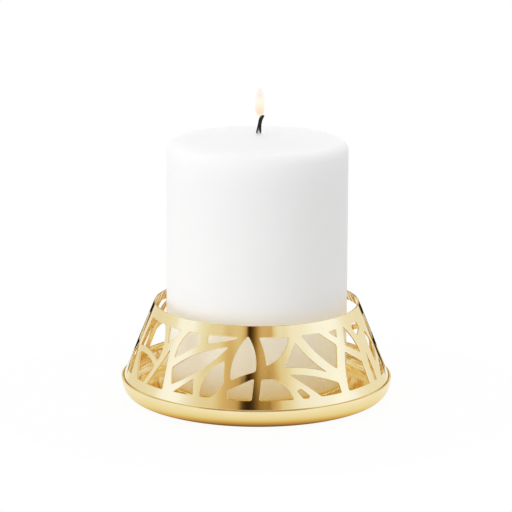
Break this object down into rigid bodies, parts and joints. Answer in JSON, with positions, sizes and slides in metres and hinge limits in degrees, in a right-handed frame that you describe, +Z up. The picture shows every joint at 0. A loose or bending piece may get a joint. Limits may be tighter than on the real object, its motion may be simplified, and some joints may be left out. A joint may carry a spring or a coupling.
{
  "type": "pillar candle holder",
  "caption": "Pillar candle holder: a polished brass dish, a pierced leaf-pattern gallery that lifts off it, and a white pillar candle on the dish's raised seat.",
  "frame": {"origin": "on the table, under the candle's axis", "axes": "+Z up along the candle; -Y towards the viewer of the picture, +X to that viewer's right"},
  "size_m": [0.12, 0.12, 0.1258],
  "materials": {
    "polished_brass": "polished",
    "white_wax": "satin",
    "charred_cotton": "matte",
    "tinned_steel": "satin",
    "black_felt": "matte"
  },
  "bodies": {
    "stand": {"base_dish": "polished_brass", "felt_pad_1": "black_felt", "felt_pad_2": "black_felt", "felt_pad_3": "black_felt", "felt_pad_4": "black_felt"},
    "gallery": {"gallery": "polished_brass"},
    "candle": {"candle": "white_wax", "wick_clip": "tinned_steel", "wick": "charred_cotton"}
  },
  "joints": [
    {"name": "gallery_lift", "type": "slide", "parent": "stand", "child": "gallery", "axis": [0, 0, 1], "range_m": [0, 0.135]},
    {"name": "candle_lift", "type": "slide", "parent": "stand", "child": "candle", "axis": [0, 0, 1], "range_m": [0, 0.045]}
  ]
}
